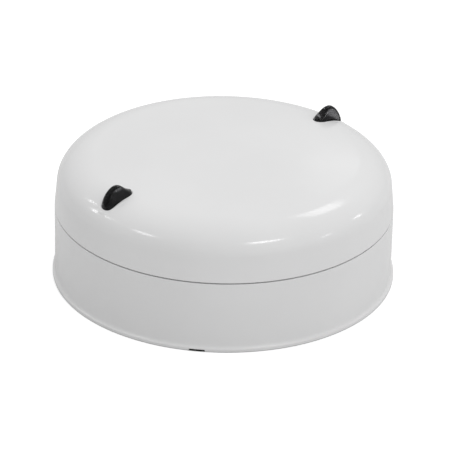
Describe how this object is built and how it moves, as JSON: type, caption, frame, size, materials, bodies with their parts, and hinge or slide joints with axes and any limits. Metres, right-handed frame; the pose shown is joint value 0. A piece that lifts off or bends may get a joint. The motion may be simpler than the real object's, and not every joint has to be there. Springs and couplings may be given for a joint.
{
  "type": "wireless alarm gateway",
  "caption": "Round domed ceiling gateway: a white head with two smoked light pipes on its shoulder twist-locks into a deep mounting base with screw slots and a cable entry.",
  "frame": {"origin": "centre of the mounting base's back face", "axes": "+Z runs from the back face up through the cover; the two light pipes lie on the X axis"},
  "size_m": [0.1116, 0.1116, 0.045],
  "materials": {
    "base_plastic": "white moulded plastic, semi-gloss",
    "cover_plastic": "white moulded plastic, polished",
    "chassis_plastic": "white moulded plastic, fine satin",
    "board_laminate": "green lacquered glass laminate",
    "smoked_clear": "smoked clear plastic, polished",
    "lamp_body": "white lamp body with a clear window",
    "plated_steel": "zinc plated steel",
    "magnet_nickel": "nickel plated magnet",
    "reed_glass": "glass tube",
    "switch_black": "black moulded plastic",
    "dial_white": "ivory moulded plastic",
    "chip_black": "black moulding compound",
    "tinned_sheet": "tinned sheet metal",
    "capacitor_can": "bare aluminium can",
    "ferrite": "dark grey ferrite",
    "spring_bronze": "spring bronze strip",
    "contact_brass": "brass blade"
  },
  "bodies": {
    "base": {"mounting_base": "base_plastic", "contact_spring_1": "spring_bronze", "contact_spring_2": "spring_bronze", "contact_spring_3": "spring_bronze", "contact_spring_4": "spring_bronze", "terminal_clamps": "plated_steel", "terminal_screws": "plated_steel", "tamper_magnet": "magnet_nickel"},
    "head": {"top_cover": "cover_plastic", "head_chassis": "chassis_plastic", "circuit_board": "board_laminate", "light_pipe_left": "smoked_clear", "light_pipe_right": "smoked_clear", "status_lamp_left": "lamp_body", "status_lamp_right": "lamp_body", "cover_screws": "plated_steel", "board_screws": "plated_steel", "reed_switch": "reed_glass", "address_switch_tens": "switch_black", "address_switch_units": "switch_black", "radio_module": "board_laminate", "radio_chip": "chip_black", "radio_shield": "tinned_sheet", "antenna_left": "tinned_sheet", "antenna_right": "tinned_sheet", "microcontroller": "chip_black", "crystal": "tinned_sheet", "storage_capacitor_1": "capacitor_can", "storage_capacitor_2": "capacitor_can", "power_inductor": "ferrite", "isolator_transistor_1": "chip_black", "isolator_transistor_2": "chip_black", "contact_blade_1": "contact_brass", "contact_blade_2": "contact_brass", "contact_blade_3": "contact_brass", "contact_blade_4": "contact_brass"},
    "dial_tens": {"address_dial_tens": "dial_white"},
    "dial_units": {"address_dial_units": "dial_white"}
  },
  "joints": [
    {"name": "head_twist", "type": "hinge", "parent": "base", "child": "head", "pos_m": [0, 0, 0.0238], "axis": [0, 0, 1], "range_deg": [0, 18]},
    {"name": "tens_turn", "type": "hinge", "parent": "head", "child": "dial_tens", "pos_m": [-0.0085, -0.022, 0.0203], "axis": [0, 0, -1], "continuous": true},
    {"name": "units_turn", "type": "hinge", "parent": "head", "child": "dial_units", "pos_m": [0.0085, -0.022, 0.0203], "axis": [0, 0, -1], "continuous": true}
  ]
}
